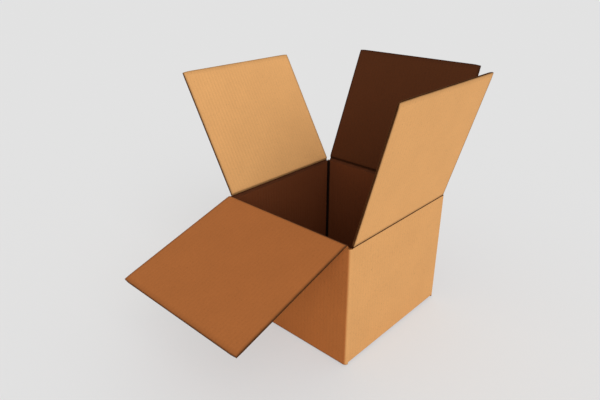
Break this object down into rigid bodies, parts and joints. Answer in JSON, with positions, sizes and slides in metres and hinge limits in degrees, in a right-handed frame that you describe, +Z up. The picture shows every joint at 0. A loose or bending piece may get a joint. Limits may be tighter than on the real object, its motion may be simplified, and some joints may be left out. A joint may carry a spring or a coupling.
{
  "type": "open cardboard box",
  "caption": "Square corrugated shipping carton standing on its bottom, with its top flaps open and swinging at their scores.",
  "frame": {"origin": "middle of the bottom's underside, on the surface that the box stands on", "axes": "+Z up through the open top, +X towards the right wall, -Y towards the front wall, whose flap hangs down"},
  "size_m": [0.5164, 0.6702, 0.5119],
  "materials": {
    "board": "matte",
    "flap_board": "matte",
    "tape": "satin"
  },
  "bodies": {
    "carton": {"carton_body": "board", "joint_tape": "tape"},
    "front_flap": {"front_flap": "flap_board"},
    "right_flap": {"right_flap": "flap_board"},
    "back_flap": {"back_flap": "flap_board"},
    "left_flap": {"left_flap": "flap_board"}
  },
  "joints": [
    {"name": "front_crease", "type": "hinge", "parent": "carton", "child": "front_flap", "pos_m": [0, -0.1565, 0.2563], "axis": [1, 0, 0], "range_deg": [-192, 56]},
    {"name": "right_crease", "type": "hinge", "parent": "carton", "child": "right_flap", "pos_m": [0.1565, 0, 0.252], "axis": [0, 1, 0], "range_deg": [-105, 143]},
    {"name": "back_crease", "type": "hinge", "parent": "carton", "child": "back_flap", "pos_m": [0, 0.1565, 0.2563], "axis": [-1, 0, 0], "range_deg": [-113.5, 140.5]},
    {"name": "left_crease", "type": "hinge", "parent": "carton", "child": "left_flap", "pos_m": [-0.1565, 0, 0.252], "axis": [0, -1, 0], "range_deg": [-126, 128]}
  ]
}
